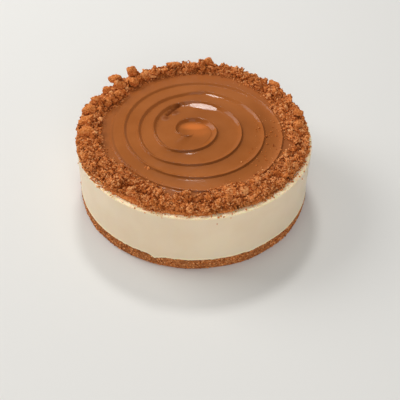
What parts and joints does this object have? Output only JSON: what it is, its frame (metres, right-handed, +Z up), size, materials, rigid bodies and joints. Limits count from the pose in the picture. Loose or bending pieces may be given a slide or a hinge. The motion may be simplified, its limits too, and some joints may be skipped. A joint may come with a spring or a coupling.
{
  "type": "caramelised biscuit cheesecake",
  "caption": "Round whole cheesecake with a pressed biscuit base, a tall smooth cream side, a glossy swirled biscuit spread on top and a ring of biscuit crumbs and chunks round its edge.",
  "frame": {"origin": "middle of the biscuit base's flat underside", "axes": "+Z up; the picture is taken from the -Y side, looking along +Y and down; +X to the right of that view"},
  "size_m": [0.2013, 0.2021, 0.0752],
  "materials": {
    "biscuit_base": "matte pressed biscuit crumb",
    "cream_filling": "smooth soft-sheen set cream",
    "biscuit_spread": "wet gloss caramel-brown spread",
    "biscuit_crumbs": "matte baked crumb",
    "biscuit_chunks": "matte baked biscuit, broken faces"
  },
  "bodies": {
    "root": {"biscuit_base": "biscuit_base", "cream_filling": "cream_filling", "biscuit_spread": "biscuit_spread", "crumb_ring": "biscuit_crumbs", "chunk_tall": "biscuit_chunks", "chunk_overhang": "biscuit_chunks", "chunk_stacked": "biscuit_chunks", "chunk_round": "biscuit_chunks", "chunk_inner": "biscuit_chunks", "chunk_upright": "biscuit_chunks", "chunk_square": "biscuit_chunks", "chunk_lump": "biscuit_chunks", "chunk_left_lump": "biscuit_chunks", "chunk_left_slab": "biscuit_chunks", "chunk_left_low": "biscuit_chunks", "chunk_pointed": "biscuit_chunks", "chunk_back_slab": "biscuit_chunks", "chunk_right_slab": "biscuit_chunks", "chunk_right_round": "biscuit_chunks", "chunk_right_low": "biscuit_chunks"}
  },
  "joints": []
}
